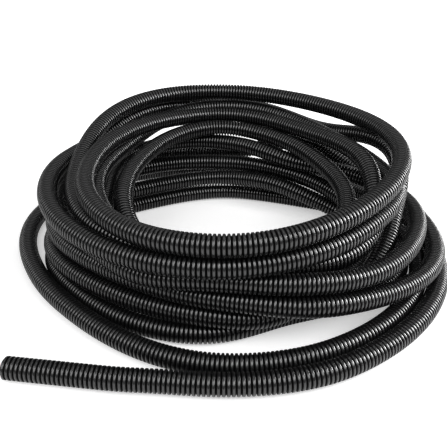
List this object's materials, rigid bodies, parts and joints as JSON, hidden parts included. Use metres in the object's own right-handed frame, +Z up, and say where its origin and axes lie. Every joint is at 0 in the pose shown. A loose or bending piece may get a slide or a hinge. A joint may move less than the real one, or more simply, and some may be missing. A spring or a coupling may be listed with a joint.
{
  "type": "corrugated conduit",
  "caption": "Loose coil of flexible corrugated plastic conduit for protecting cables, lying flat with its open end free on the floor.",
  "frame": {"origin": "middle of the footprint on the floor", "axes": "+Z up out of the coil's eye, +X to the right and +Y away from the side on which the free end lies"},
  "size_m": [0.3888, 0.3734, 0.1138],
  "materials": {
    "conduit": "satin black moulded plastic, ribbed"
  },
  "bodies": {
    "root": {"coil": "conduit", "loose_turn": "conduit", "free_end": "conduit"}
  },
  "joints": []
}
